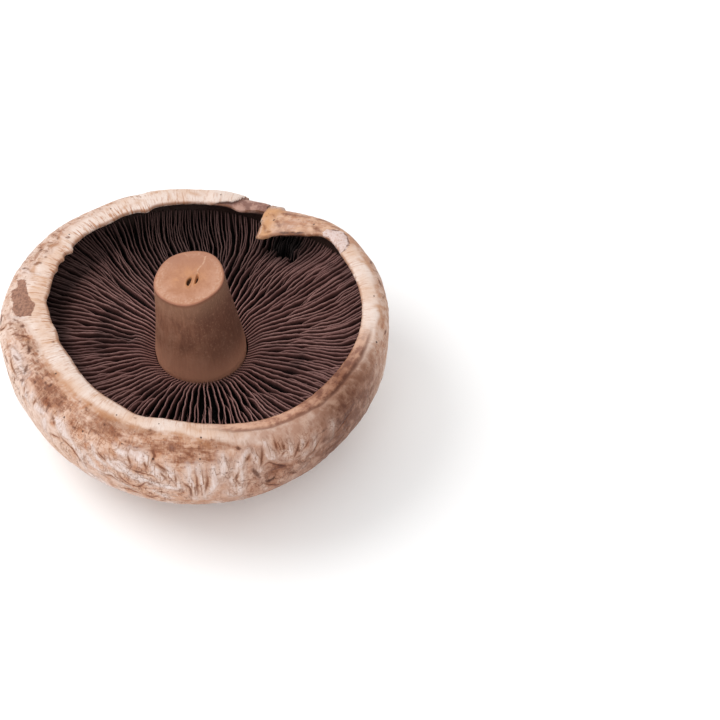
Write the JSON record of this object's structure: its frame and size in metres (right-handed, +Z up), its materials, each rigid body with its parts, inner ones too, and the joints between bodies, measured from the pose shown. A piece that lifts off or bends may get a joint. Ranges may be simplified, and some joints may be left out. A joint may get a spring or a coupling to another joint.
{
  "type": "portobello mushroom",
  "caption": "Large flat-capped mushroom lying on its cap, with a rolled and torn rim, open radial gills and a stem cut short.",
  "frame": {"origin": "middle of the flat spot on top of the cap, which the mushroom rests on when it lies gills up", "axes": "+Z up out of the open rim, along the stem; +X to the right and +Y to the back, as seen in the picture"},
  "size_m": [0.1182, 0.1145, 0.0564],
  "materials": {
    "cap": "matte mushroom skin, cream with brown fibres and stains",
    "gills": "matte dark brown gills with paler pinkish edges",
    "stem": "matte fibrous stem flesh with a tan cut face"
  },
  "bodies": {
    "root": {"cap": "cap", "gills": "gills", "stem": "stem"}
  },
  "joints": []
}
